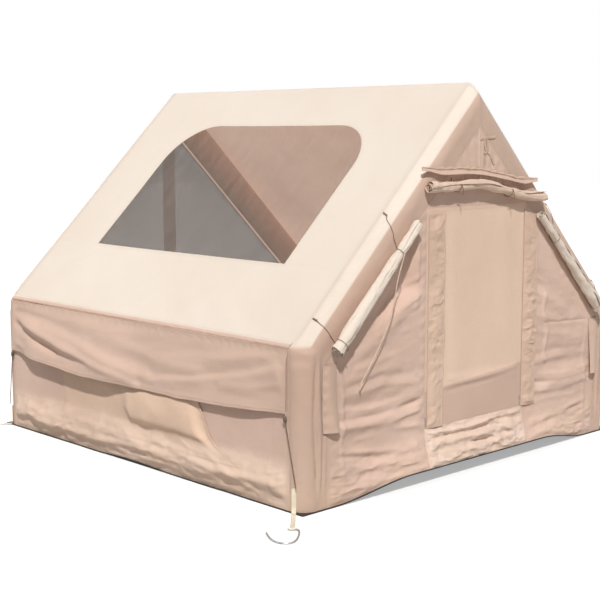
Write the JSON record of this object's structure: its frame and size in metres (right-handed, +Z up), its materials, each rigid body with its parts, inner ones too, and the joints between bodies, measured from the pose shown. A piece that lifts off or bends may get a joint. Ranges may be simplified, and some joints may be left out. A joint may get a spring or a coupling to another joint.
{
  "type": "inflatable camping tent",
  "caption": "House-shaped air-beam tent with a gabled front door, rolled front curtains, a clear roof window, lifting side window flaps, a sewn-in floor and corner peg loops.",
  "frame": {"origin": "middle of the floor's underside, on the ground", "axes": "+X to the right across the gables, -Y out of the front door, +Y to the rear gable, +Z up"},
  "size_m": [3.1848, 3.0708, 1.9999],
  "materials": {
    "beam_film": "welded film tube in a woven cover",
    "roof_cloth": "coated cream woven cloth, sun-bleached",
    "wall_cloth": "pinkish beige woven cotton blend",
    "door_cloth": "tan woven cloth",
    "window_film": "flexible smoke-tinted clear film",
    "mesh_net": "fine black insect net",
    "floor_sheet": "black coated floor cloth",
    "webbing": "flat cream webbing",
    "dark_cord": "thin black braided cord",
    "dark_plastic": "moulded black plastic",
    "steel": "bent steel wire and zip metal, dull"
  },
  "bodies": {
    "tent": {"front_air_beam": "beam_film", "rear_air_beam": "beam_film", "ridge_air_beam": "beam_film", "inflation_valve": "dark_plastic", "front_left_sleeve": "roof_cloth", "front_right_sleeve": "roof_cloth", "rear_left_sleeve": "roof_cloth", "rear_right_sleeve": "roof_cloth", "left_roof_panel": "roof_cloth", "right_roof_panel": "roof_cloth", "skylight_window": "window_film", "left_side_wall": "wall_cloth", "right_side_wall": "wall_cloth", "left_window_curtain": "wall_cloth", "right_window_curtain": "wall_cloth", "left_front_wall": "wall_cloth", "right_front_wall": "wall_cloth", "front_gable_peak": "wall_cloth", "door_sill": "door_cloth", "brow_flap": "wall_cloth", "awning_roll": "wall_cloth", "left_awning_tie": "dark_cord", "right_awning_tie": "dark_cord", "left_curtain_roll": "roof_cloth", "right_curtain_roll": "roof_cloth", "left_lower_curtain_tie": "dark_cord", "left_upper_curtain_tie": "dark_cord", "right_lower_curtain_tie": "dark_cord", "right_upper_curtain_tie": "dark_cord", "left_leg_flap": "wall_cloth", "right_leg_flap": "wall_cloth", "apex_guy_loop": "webbing", "front_guy_cord": "webbing", "rear_wall": "wall_cloth", "rear_mesh_window": "mesh_net", "groundsheet": "floor_sheet", "front_left_peg_loop": "webbing", "front_right_peg_loop": "webbing", "rear_left_peg_loop": "webbing", "rear_right_peg_loop": "webbing", "front_left_peg": "steel", "front_right_peg": "steel", "rear_left_peg": "steel", "rear_right_peg": "steel"},
    "door": {"door_panel": "door_cloth", "left_door_flap": "door_cloth", "right_door_flap": "door_cloth"},
    "left_slider": {"left_zip_slider": "steel"},
    "right_slider": {"right_zip_slider": "steel"},
    "left_flap": {"left_window_flap": "wall_cloth", "front_left_flap_cord": "dark_cord", "rear_left_flap_cord": "dark_cord"},
    "right_flap": {"right_window_flap": "wall_cloth", "front_right_flap_cord": "dark_cord", "rear_right_flap_cord": "dark_cord"},
    "front_left_lock": {"front_left_cord_lock": "dark_plastic"},
    "rear_left_lock": {"rear_left_cord_lock": "dark_plastic"},
    "front_right_lock": {"front_right_cord_lock": "dark_plastic"},
    "rear_right_lock": {"rear_right_cord_lock": "dark_plastic"},
    "cap": {"valve_cap": "dark_plastic"}
  },
  "joints": [
    {"name": "door_roll_up", "type": "hinge", "parent": "tent", "child": "door", "pos_m": [0, -1.29, 1.375], "axis": [-1, 0, 0], "range_deg": [0, 80]},
    {"name": "left_zip_run", "type": "slide", "parent": "door", "child": "left_slider", "axis": [0, 0, 1], "range_m": [0, 1]},
    {"name": "right_zip_run", "type": "slide", "parent": "door", "child": "right_slider", "axis": [0, 0, 1], "range_m": [0, 1]},
    {"name": "left_flap_lift", "type": "hinge", "parent": "tent", "child": "left_flap", "pos_m": [-1.2518, 0, 0.76249], "axis": [0, 1, 0], "range_deg": [0, 100]},
    {"name": "right_flap_lift", "type": "hinge", "parent": "tent", "child": "right_flap", "pos_m": [1.2518, 0, 0.76249], "axis": [0, -1, 0], "range_deg": [0, 100]},
    {"name": "front_left_lock_slide", "type": "slide", "parent": "left_flap", "child": "front_left_lock", "axis": [0.0314, -0.197, -0.9799], "range_m": [0, 0.3]},
    {"name": "rear_left_lock_slide", "type": "slide", "parent": "left_flap", "child": "rear_left_lock", "axis": [0.0314, 0.197, -0.9799], "range_m": [0, 0.3]},
    {"name": "front_right_lock_slide", "type": "slide", "parent": "right_flap", "child": "front_right_lock", "axis": [-0.0314, -0.197, -0.9799], "range_m": [0, 0.3]},
    {"name": "rear_right_lock_slide", "type": "slide", "parent": "right_flap", "child": "rear_right_lock", "axis": [-0.0314, 0.197, -0.9799], "range_m": [0, 0.3]},
    {"name": "valve_cap_turn", "type": "hinge", "parent": "tent", "child": "cap", "pos_m": [1.0621, -1.2017, 0.34], "axis": [-1, 0, 0], "continuous": true}
  ]
}
